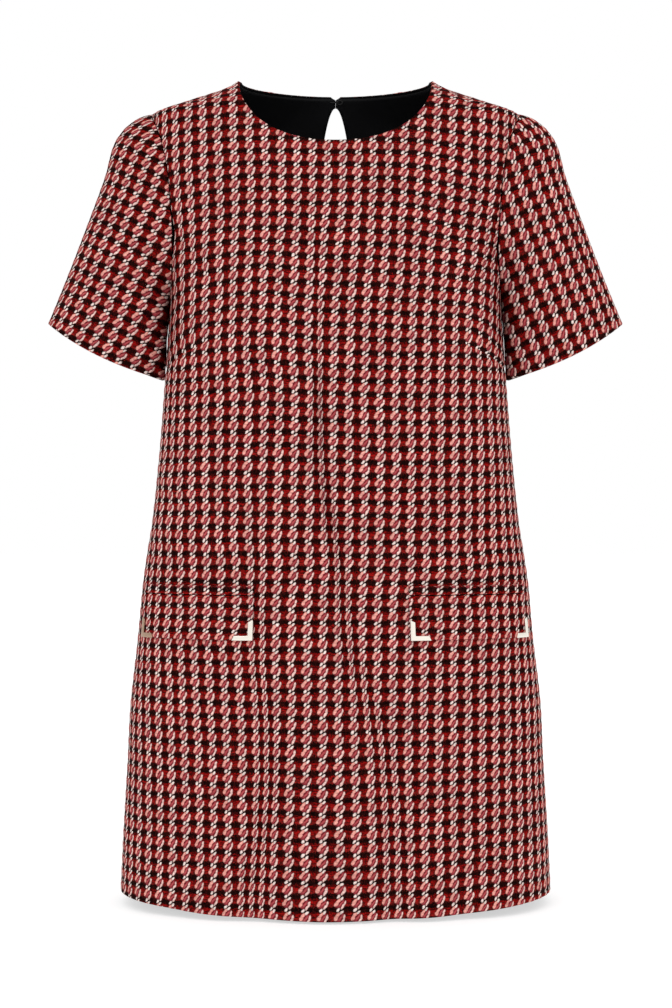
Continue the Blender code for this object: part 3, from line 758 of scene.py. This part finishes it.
def tweed_material():
    """The chain check over its striped ground, dull and rough, with each yarn a little raised."""
    material, tree = new_material("wool_tweed_chain_check", {"Specular IOR Level": 0.02})

    # The repeat lies on the flat cloth. It drifts a little from place to place, as a soft weave does.
    flat = add_node(tree, "UVMap", uv_map="weave")
    drift = vector(tree, "SUBTRACT", noise(tree, flat, 0.035, 1.0, output=1), CENTRE_LEVEL)
    wobble = vector(tree, "SUBTRACT", noise(tree, flat, 0.24, 2.0, output=1), CENTRE_LEVEL)
    moved = vector(tree, "MULTIPLY_ADD", drift, DRIFT, flat)
    moved = vector(tree, "MULTIPLY_ADD", wobble, WOBBLE, moved)
    pitch = (COLUMN_PITCH, ROW_PITCH, 1.0)
    start = (COLUMN_START - pitch[0] / 2, ROW_START - pitch[1] / 2, 0.0)
    repeats = vector(tree, "DIVIDE", vector(tree, "SUBTRACT", moved, start), pitch)
    within = vector(tree, "SUBTRACT", vector(tree, "FRACTION", repeats), (0.5, 0.5, 0.0))
    within = vector(tree, "MULTIPLY", within, pitch)
    cell = vector(tree, "FLOOR", repeats)
    chance = add_node(tree, "TexWhiteNoise", {"Vector": cell}, noise_dimensions="2D")

    # Ground: red weft, streaked along its yarns with darker and browner flecks, and near-black weft.
    streak = noise(tree, moved, detail=3.0, roughness=0.6, stretch=(0.16, 0.75, 1.0))
    streak = remap(tree, streak, (0.36, 0.66), smooth=True)
    fleck = noise(tree, moved, stretch=(0.60, 0.28, 1.0))
    fleck = remap(tree, fleck, (0.48, 0.70), smooth=True)
    red = mix(tree, streak, "#3C0506", "#9C1311")
    red = mix(tree, fleck, red, "#2A0A06")
    black = mix(tree, streak, "#090202", "#1E0806")
    black = mix(tree, fleck, black, "#340D0B")
    up = add_node(tree, "SeparateXYZ", {0: within}, 1)
    red = mix(tree, remap(tree, up, (0.5, -3.5), (0.0, 0.30)), red, "#84302C")
    off_middle = maths(tree, "ABSOLUTE", maths(tree, "SUBTRACT", up, RED_MIDDLE))
    ragged = noise(tree, moved, detail=1.0, stretch=(0.9, 0.6, 1.0))
    off_middle = maths(tree, "MULTIPLY_ADD", ragged, RAGGED, off_middle)
    edge = RED_HALF + RAGGED / 2
    band = remap(tree, off_middle, (edge - BAND_SOFTNESS, edge + BAND_SOFTNESS), smooth=True)
    colour = mix(tree, band, red, black)

    # Chain: each stroke of yarn is a short leaning ellipse, drawn over a painted shade round it for the
    # shadow between the yarns, and painted darker towards its own edges as a round yarn is shaded.
    fibre = add_node(tree, "Mapping", {0: moved, 2: (0, 0, FIBRE_TURN), 3: (0.40, 1.5, 1.0)})
    fibre = remap(tree, noise(tree, fibre), (0.32, 0.68), (0.62, 1.16))
    fibre = maths(tree, "MULTIPLY", fibre, remap(tree, chance, to=(0.86, 1.06)))
    height = remap(tree, band, to=(0.30, 0.12))
    for stroke in CHAIN:
        place = {
            0: within,
            1: (stroke.x, stroke.y, 0),
            2: (0, 0, math.radians(stroke.turn)),
            3: (stroke.along, stroke.across, 1),
        }
        across = add_node(tree, "Mapping", place, vector_type="TEXTURE")
        across = vector(tree, "LENGTH", across, output=1)
        # Painted shade: the colour just outside the stroke is darkened, for the shadow between the yarns.
        painted_shade_round = remap(tree, across, (1.0, 1.5), (STROKE_PAINTED_SHADE[stroke.yarn], 1.0))
        colour = mix(tree, 1.0, colour, painted_shade_round, "MULTIPLY")
        dome = maths(tree, "MULTIPLY", across, across)
        # Painted shade across the yarn: its colour is darker towards its edges, as its round form is shaded,
        # times the fibres' own tone.
        painted_yarn_shade_and_fibre = maths(tree, "MULTIPLY", remap(tree, dome, (1.0, 0.0), (0.74, 1.05)), fibre)
        yarn = mix(tree, 1.0, YARNS[stroke.yarn], painted_yarn_shade_and_fibre, "MULTIPLY")
        colour = mix(tree, remap(tree, across, (1.20, 0.80), smooth=True), colour, yarn)
        height = maths(tree, "MAXIMUM", height, remap(tree, dome, (1.0, 0.0), (0.0, stroke.height)))
    height = maths(tree, "MULTIPLY_ADD", streak, 0.10, height)
    bump = add_node(tree, "Bump", {"Strength": 0.7, "Distance": 0.0012, "Height": height})
    rough = remap(tree, fibre, to=(0.95, 0.82))
    join_shader(tree, {"Base Color": colour, "Roughness": rough, "Normal": bump})
    return material


def lining_material():
    """Polyester satin lining, black, with a soft low gloss and a very fine plain weave."""
    constants = {"Specular IOR Level": 0.12, "Sheen Weight": 0.01}
    material, tree = new_material("satin_lining_black", constants)
    cloud = noise(tree, scale=60.0, detail=3.0)
    colour = mix(tree, cloud, "#040405", "#0B0B0D")
    rough = remap(tree, cloud, to=(0.50, 0.66))
    bump = add_node(tree, "Bump", {"Strength": 0.15, "Distance": 0.0004, "Height": cloud})
    join_shader(tree, {"Base Color": colour, "Roughness": rough, "Normal": bump})
    return material


tweed = tweed_material()
lining = lining_material()


def make_panel(panel, creases):
    rows = panel_grid(panel)
    flat = grain(rows, panel)
    lift = rib_height(flat) - turned_in(rows)
    rows = rows - outward(rows, panel) * crease_depth(rows, creases)[..., None]
    if panel == "back":
        rows, flat, lift = rows[:, ::-1], flat[:, ::-1], lift[:, ::-1]

    def dart_grain(mesh, corner, row, column):
        face = np.repeat(np.arange(len(mesh.polygons)), 4)
        points = rows[row, column][corner]
        centres = points.reshape(-1, 4, 3).mean(axis=1)[face]
        return with_darts(flat[row, column][corner], points, above_dart(centres))

    return cloth_piece(
        f"cloth_{panel}", rows, lift, flat, CLOTH, (tweed, lining),
        flat_of_loops=dart_grain if panel == "front" else None,
    )


front = make_panel("front", FRONT_CREASES)
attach(front, "root")
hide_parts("front")

# ----------------------------------------
# Back panel
# The same tweed in one piece from neck to hem, with a drop-shaped keyhole at the centre of the neck.
# The edge of the keyhole is faced with the lining.
KEYHOLE_HALF = 0.0170
KEYHOLE_TOP_Z = -0.0162
KEYHOLE_SIDES = 0.064
KEYHOLE_BOTTOM = 0.026
SLIT_HALF = 0.00006
SLIT_TOP_Z = -0.0090
NOTCH_HALF = 0.0065
NOTCH_Z = -0.0044
NOTCH_FLARE = 0.002
NOTCH_RISE = 0.012
KEYHOLE_STEPS = 16
CUTTER_Y = 0.02
CUTTER_LENGTH = 0.12


def keyhole_half():
    """Half widths of the keyhole by height: a notch at the neck edge, a slit, then a drop shape."""
    above = (NOTCH_HALF + NOTCH_FLARE, NOTCH_Z + NOTCH_RISE)
    edge = [above, (NOTCH_HALF, NOTCH_Z), (SLIT_HALF, SLIT_TOP_Z)]
    for k in range(KEYHOLE_STEPS + 1):
        part = k / KEYHOLE_STEPS
        half = SLIT_HALF + (KEYHOLE_HALF - SLIT_HALF) * part
        edge.append((half, KEYHOLE_TOP_Z - KEYHOLE_SIDES * part**2))
    for k in range(1, KEYHOLE_STEPS):
        turn = math.pi / 2 * k / KEYHOLE_STEPS
        low = KEYHOLE_TOP_Z - KEYHOLE_SIDES - KEYHOLE_BOTTOM * math.sin(turn)
        edge.append((KEYHOLE_HALF * math.cos(turn), low))
    return edge


def keyhole_cutter():
    half = keyhole_half()
    lowest = (0.0, KEYHOLE_TOP_Z - KEYHOLE_SIDES - KEYHOLE_BOTTOM)
    outline = [*half, lowest, *[(-x, z) for x, z in reversed(half)]]
    cutter = bmesh.new()
    bmesh.ops.create_circle(cutter, segments=len(outline), radius=1, cap_ends=True)
    cutter.verts.ensure_lookup_table()
    for corner, (x, z) in zip(cutter.verts, outline):
        corner.co = (x, CUTTER_Y, z)
    grown = bmesh.ops.extrude_face_region(cutter, geom=cutter.faces[:])["geom"]
    moved = [item for item in grown if isinstance(item, bmesh.types.BMVert)]
    bmesh.ops.translate(cutter, verts=moved, vec=(0, CUTTER_LENGTH, 0))
    bmesh.ops.recalc_face_normals(cutter, faces=cutter.faces[:])
    layer = cutter.loops.layers.uv.new("OFBake")
    for face in cutter.faces:
        face.material_index = 1
        for loop in face.loops:
            loop[layer].uv = (0.5, OUTER_SHARE + EDGE_SHARE)
    mesh = built_mesh(cutter, "keyhole_cutter")
    mesh.materials.append(tweed)
    mesh.materials.append(lining)
    return put_in_scene("keyhole_cutter", mesh)


def cut_keyhole(piece):
    cutter = keyhole_cutter()
    cut = piece.modifiers.new("keyhole", "BOOLEAN")
    cut.operation = "DIFFERENCE"
    cut.solver = "EXACT"
    cut.object = cutter
    apply_modifiers(piece)
    bpy.data.objects.remove(cutter)


back = make_panel("back", BACK_CREASES)
cut_keyhole(back)
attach(back, "root")
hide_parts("back")

# ----------------------------------------
# Sleeves
# Two short set-in sleeves of the same tweed. The grain follows the outer line of the arm, and each
# has one seam under the arm. The cuff is turned in.
CUFF_DROP_FRONT = 0.0075
CUFF_DROP_BACK = 0.0045
SLEEVE_GAP = 0.0001
Ring = namedtuple("Ring", "top_x top_z under_x under_z half_depth")
SLEEVE = (
    Ring(0.2000, -0.0375, 0.1706, -0.2340, 0.0510),
    Ring(0.2125, -0.0455, 0.1714, -0.2410, 0.0520),
    Ring(0.2240, -0.0590, 0.1722, -0.2490, 0.0525),
    Ring(0.2370, -0.1000, 0.1736, -0.2640, 0.0525),
    Ring(0.2555, -0.1500, 0.1742, -0.2800, 0.0505),
    Ring(0.2776, -0.2070, 0.1751, -0.2950, 0.0465),
    Ring(0.2955, -0.2505, 0.1761, -0.3080, 0.0420),
)
SLEEVE_ROUND = 136


def sleeve_rings(angles):
    """Rings of the sleeve on the wearer's left, from the armhole seam to the cuff."""
    in_front = np.sin(angles) >= 0
    rise = np.where(in_front, 1 - angles / math.pi, angles / math.pi - 1)
    seam = np.where(in_front[:, None], armhole(rise, 1, "front"), armhole(rise, 1, "back"))
    seam[np.isclose(np.sin(angles), 0), 1] = 0.0
    seam[:, 0] += SLEEVE_GAP
    rings = [seam]
    for k, ring in enumerate(SLEEVE):
        top, under = np.array((ring.top_x, 0, ring.top_z)), np.array((ring.under_x, 0, ring.under_z))
        circle = (top + under) / 2 + np.cos(angles)[:, None] * (top - under) / 2
        circle[:, 1] = -ring.half_depth * np.sin(angles)
        drop = np.where(in_front, CUFF_DROP_FRONT, CUFF_DROP_BACK) * np.sin(angles) ** 2
        lower = np.array((top[2] - under[2], 0, under[0] - top[0])) / np.linalg.norm(top - under)
        circle += lower * (drop * (k / (len(SLEEVE) - 1)) ** 2)[:, None]
        rings.append(circle)
    return np.array(rings)


SLEEVE_LEAN = math.radians(24.5)
SLEEVE_MIDDLE = 0.090
SLEEVE_DEPTH = 0.049
SLEEVE_STEPS = 32


def sleeve_grain(rows, side):
    """The grain runs straight down from the shoulder tip, and round the arm from the outer line."""
    down = rows[..., 0] * math.sin(SLEEVE_LEAN) - rows[..., 2] * math.cos(SLEEVE_LEAN)
    out = rows[..., 0] * math.cos(SLEEVE_LEAN) + rows[..., 2] * math.sin(SLEEVE_LEAN)
    middle = SLEEVE_ROUND // 2
    reach = np.interp(down, down[:, middle], out[:, middle]) - SLEEVE_MIDDLE
    angle = np.arccos(np.clip((out - SLEEVE_MIDDLE) / reach, -1, 1))
    round_arm = np.zeros_like(angle)
    for k in range(SLEEVE_STEPS):
        step = angle * (k + 0.5) / SLEEVE_STEPS
        round_arm += np.hypot(reach * np.sin(step), SLEEVE_DEPTH * np.cos(step)) * angle / SLEEVE_STEPS
    ahead = np.where(np.arange(rows.shape[1]) < middle, 1, -1)
    return np.stack([side * ahead * round_arm, down[0, middle] - down], axis=-1) * 1000


def make_sleeve(name, side):
    angles = np.linspace(0, 2 * math.pi, SLEEVE_ROUND + 1) + math.pi
    angles = np.where(angles > 2 * math.pi, angles - 2 * math.pi, angles)
    rings = sleeve_rings(angles)
    places = np.concatenate([[0], np.cumsum(np.linalg.norm(np.diff(rings, axis=0), axis=-1).mean(axis=1))])
    wanted = close_at_ends(places[-1], STEP)
    flat_rings = rings.reshape(len(rings), -1)
    columns = [through_points(wanted, places, flat_rings[:, k]) for k in range(flat_rings.shape[1])]
    rows = np.stack(columns, axis=-1).reshape(len(wanted), len(angles), 3)

    flat = sleeve_grain(rows, side)
    lift = rib_height(flat) - turned_in(rows, sides=False)
    rows[..., 0] *= side
    if side < 0:
        rows, flat, lift = rows[::-1], flat[::-1], lift[::-1]
    return cloth_piece(name, rows, lift, flat, CLOTH, (tweed, lining), closed=True)


for name, side in (("left", 1), ("right", -1)):
    sleeve = make_sleeve(f"cloth_sleeve_{name}", side)
    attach(sleeve, "root")
    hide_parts(f"sleeve_{name}")

# ----------------------------------------
# Neck lining
# Black satin lining inside the upper back, seen through the neck. It lies just inside the tweed, and
# it is cut away with it round the keyhole.
LINING = 0.001
LINING_GAP = 0.0011
LINING_REACH = 0.75
LINING_FROM = 0.292
LINING_TOP = 0.990
LINING_ROWS = 52


def make_lining():
    turns = panel_turns("back")[::2]
    turns = turns[np.abs(turns) < LINING_REACH]
    rises = np.linspace(LINING_FROM, LINING_TOP, LINING_ROWS)
    rows = np.array([yoke(turns, np.full_like(turns, rise), "back") for rise in rises])
    inwards = np.cross(np.gradient(rows, axis=1), np.gradient(rows, axis=0))
    inwards /= np.linalg.norm(inwards, axis=-1, keepdims=True)
    rows = (rows + inwards * (CLOTH + LINING_GAP))[:, ::-1]
    flat = rows[..., (0, 2)] * 1000
    return cloth_piece("lining_neck", rows, np.zeros(rows.shape[:2]), flat, LINING, (lining, lining))


neck_lining = make_lining()
cut_keyhole(neck_lining)
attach(neck_lining, "root")
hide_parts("neck_lining")

# ----------------------------------------
# Mock pockets
# Each is a narrow welt with a flap sewn in under it, both of tweed cut on the straight grain, matched
# to the columns of the front. The flap is two layers with a turned edge and lies on the front.
FLAP_TOP_Z = -0.5245
FLAP_DROP = 0.044
WELT_HEIGHT = 0.009
FLAP_CLOTH = 0.0025
WELT_CLOTH = 0.0030
FLAP_GAP = 0.0010
SEAM_GAP = 0.0003
FLAP_ROW_START = -535.3
FLAP_ROW_EASE = 1.09
WELT_ROW_START = -519.7
STRIP_STEP = 0.0016
STRIP_RELIEF = 0.6
FLAP_SAMPLES = 600

Pocket = namedtuple("Pocket", "name side inner outer")
POCKETS = (Pocket("left", 1, 0.0755, 0.2095), Pocket("right", -1, 0.0805, 0.2095))


def turn_along(along, side):
    """Quarter turns from the front's middle to a distance along its cloth, at the flaps' height."""
    turns = np.linspace(0, 1, FLAP_SAMPLES)
    curve = with_folds(at_turn(side * turns, np.full_like(turns, FLAP_TOP_Z), "front"), "front")
    lengths = distances(curve)
    return side * np.interp(along, lengths, turns)


def on_front(along, z, side, lift):
    along, z = np.broadcast_arrays(np.asarray(along, float), np.asarray(z, float))
    return with_folds(at_turn(turn_along(along, side), z, "front"), "front", lift)


def make_strip(name, pocket, low, high, cloth, row_start, row_ease):
    alongs = pocket.inner + close_at_ends(pocket.outer - pocket.inner, STRIP_STEP)
    heights = low + close_at_ends(high - low, STRIP_STEP)
    if pocket.side < 0:
        alongs = alongs[::-1]
    rows = np.array([on_front(alongs, z, pocket.side, FLAP_GAP + cloth) for z in heights])
    middle = grain(rows[len(rows) // 2], "front")[:, 0]
    level = (heights * 1000 - row_start) * row_ease + ROW_START - ROW_PITCH / 2
    flat = np.stack(np.broadcast_arrays(middle[None, :], level[:, None]), axis=-1)
    lift = STRIP_RELIEF * (rib_height(flat) - turned_in(rows))
    return cloth_piece(name, rows, lift, flat, cloth, (tweed, lining))


for pocket in POCKETS:
    flap = make_strip(
        f"flap_{pocket.name}", pocket, FLAP_TOP_Z - FLAP_DROP, FLAP_TOP_Z, FLAP_CLOTH,
        FLAP_ROW_START, FLAP_ROW_EASE,
    )
    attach(flap, "root")
    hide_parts(f"pocket_flap_{pocket.name}")
    welt_low = FLAP_TOP_Z + SEAM_GAP
    welt = make_strip(
        f"welt_{pocket.name}", pocket, welt_low, welt_low + WELT_HEIGHT, WELT_CLOTH, WELT_ROW_START, 1.0
    )
    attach(welt, "root")
    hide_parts(f"pocket_welt_{pocket.name}")

# ----------------------------------------
# Flap tips
# An L of pale plated metal clenched on each lower corner of a flap. The sheet is pressed, with soft
# edges and slanted ends.
TIP_ARM = 0.020
TIP_WIDTH = 0.0047
TIP_METAL = 0.0014
TIP_GAP = 0.0005
TIP_SLANT = 0.0020
TIP_BEVEL = 0.0005
TIP_STEPS = 14
SHARP = math.radians(35)


def tip_material(name, dark, light):
    """Champagne plate, softly polished: it reflects the light broadly, with faint brush marks."""
    material, tree = new_material(name, {"Metallic": 1.0})
    brushed = noise(tree, stretch=(90, 90, 1400))
    rough = remap(tree, brushed, to=(0.22, 0.34))
    bump = add_node(tree, "Bump", {"Strength": 0.08, "Distance": 0.0002, "Height": brushed})
    colour = mix(tree, brushed, dark, light)
    join_shader(tree, {"Base Color": colour, "Roughness": rough, "Normal": bump})
    return material


# The plate is pale on all four tips. On the outer tip of the wearer's right the same plate is painted
# browner, a painted dark reflection and shade of a tip turned from the light.
plate = tip_material("champagne_plate_pale", "#E6DFD2", "#F1ECE2")
plate_painted_dark_reflection = tip_material("champagne_plate_brown", "#8C715B", "#B79C86")


def make_tip(name, side, along, inwards, metal):
    tip = bmesh.new()
    bmesh.ops.create_grid(tip, x_segments=TIP_STEPS, y_segments=1, size=1)
    for corner in tip.verts:
        run, inner = corner.co.x, corner.co.y > 0
        inset = TIP_WIDTH if inner else 0.0
        length = TIP_ARM - (TIP_SLANT if inner else 0.0)
        reach = inset + (length - inset) * abs(run)
        across, up = (reach, inset) if run < 0 else (inset, reach)
        corner.co = (across * inwards * side, 0, up)
    bmesh.ops.recalc_face_normals(tip, faces=tip.faces[:])
    if tip.faces[:][0].normal.y > 0:
        bmesh.ops.reverse_faces(tip, faces=tip.faces[:])
    bmesh.ops.solidify(tip, geom=tip.faces[:], thickness=TIP_METAL)
    bmesh.ops.recalc_face_normals(tip, faces=tip.faces[:])
    sharp = [e for e in tip.edges if e.calc_face_angle() > SHARP]
    bmesh.ops.bevel(
        tip, geom=sharp, offset=TIP_BEVEL, offset_type="OFFSET", segments=3, profile=0.5,
        affect="EDGES", clamp_overlap=True, material=-1,
    )
    back_y = max(v.co.y for v in tip.verts)
    low = FLAP_TOP_Z - FLAP_DROP
    base = FLAP_GAP + FLAP_CLOTH + TIP_GAP
    for corner in tip.verts:
        across, out, up = corner.co.x * side, back_y - corner.co.y, corner.co.z
        corner.co = on_front(along + across, low + up, side, base + out)
    mesh = built_mesh(tip, name)
    mesh.materials.append(metal)
    mesh.shade_smooth()
    return put_in_scene(name, mesh)


for pocket in POCKETS:
    for end, along, inwards in (("inner", pocket.inner, 1), ("outer", pocket.outer, -1)):
        # The outer tip of the wearer's right gets the plate with a painted dark reflection and shade.
        metal = plate_painted_dark_reflection if (end, pocket.name) == ("outer", "right") else plate
        tip = make_tip(f"tip_{end}_{pocket.name}", pocket.side, along, inwards, metal)
        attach(tip, "root")
        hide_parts(f"flap_tip_{end}_{pocket.name}")

# ----------------------------------------
# Hook and eye
# A small bent hook across the top of the keyhole, caught in a wire loop. Both are wire with a black
# enamel, and they are shown as they come from the solid model.
def enamel_material():
    """Black enamel over wire: small bright highlights, a little worn."""
    material, tree = new_material("enamelled_wire_black", {"Metallic": 0.3})
    wear = noise(tree, scale=900.0)
    colour = mix(tree, wear, "#0B0A0A", "#1D1A19")
    join_shader(tree, {"Base Color": colour, "Roughness": remap(tree, wear, to=(0.25, 0.5))})
    return material


enamel = enamel_material()
for name in ("neck_hook", "neck_eye"):
    bpy.data.objects[name].data.materials.clear()
    bpy.data.objects[name].data.materials.append(enamel)

# ----------------------------------------
# Stage
# A plain pale floor, soft even studio light and the camera. The floor gives off some light of its own,
# so that it stays near white with a soft shadow.
FLOOR_DROP = 0.002
FLOOR_SIZE = 30.0
floor_mesh = bmesh.new()
bmesh.ops.create_grid(floor_mesh, x_segments=1, y_segments=1, size=FLOOR_SIZE / 2)
bmesh.ops.translate(floor_mesh, verts=floor_mesh.verts, vec=(0, 0, cad_low.z - FLOOR_DROP))
floor = put_in_scene("floor", built_mesh(floor_mesh, "floor"))
FLOOR_PAINT = {
    "Base Color": linear("#C0C0C0"),
    "Roughness": 0.9,
    "Specular IOR Level": 0.0,
    "Emission Color": (1, 1, 1, 1),
    "Emission Strength": 0.58,
}
paint, _ = new_material("floor_paint_matt_white", FLOOR_PAINT)
floor.data.materials.append(paint)

world = bpy.data.worlds.new("studio")
world.use_nodes = True
world.node_tree.nodes["Background"].inputs["Color"].default_value = (1, 1, 1, 1)
world.node_tree.nodes["Background"].inputs["Strength"].default_value = 1.0
bpy.context.scene.world = world
bpy.context.scene.view_settings.view_transform = "Standard"

# A broad high light from in front, as a soft box, and a weaker one from the right.
Lamp = namedtuple("Lamp", "name from_x from_z strength spread")
for lamp in (Lamp("soft_box", -0.25, 0.9, 0.45, 50), Lamp("fill", 0.8, 0.5, 0.15, 60)):
    light = bpy.data.lights.new(lamp.name, "SUN")
    light.energy = lamp.strength
    light.angle = math.radians(lamp.spread)
    holder = put_in_scene(lamp.name, light)
    holder.rotation_euler = Vector((-lamp.from_x, 1, -lamp.from_z)).to_track_quat("-Z", "Y").to_euler()

CAMERA_DISTANCE = 2.2
CAMERA_X = 0.0005
CAMERA_Z = -0.435
VIEW_HEIGHT = 1.038
SENSOR = 36
camera_data = bpy.data.cameras.new("camera")
camera_data.sensor_width = SENSOR
camera_data.lens = SENSOR * CAMERA_DISTANCE / VIEW_HEIGHT
camera = put_in_scene("camera", camera_data)
camera.location = (CAMERA_X, -CAMERA_DISTANCE, CAMERA_Z)
camera.rotation_euler = (math.pi / 2, 0, 0)
bpy.context.scene.camera = camera
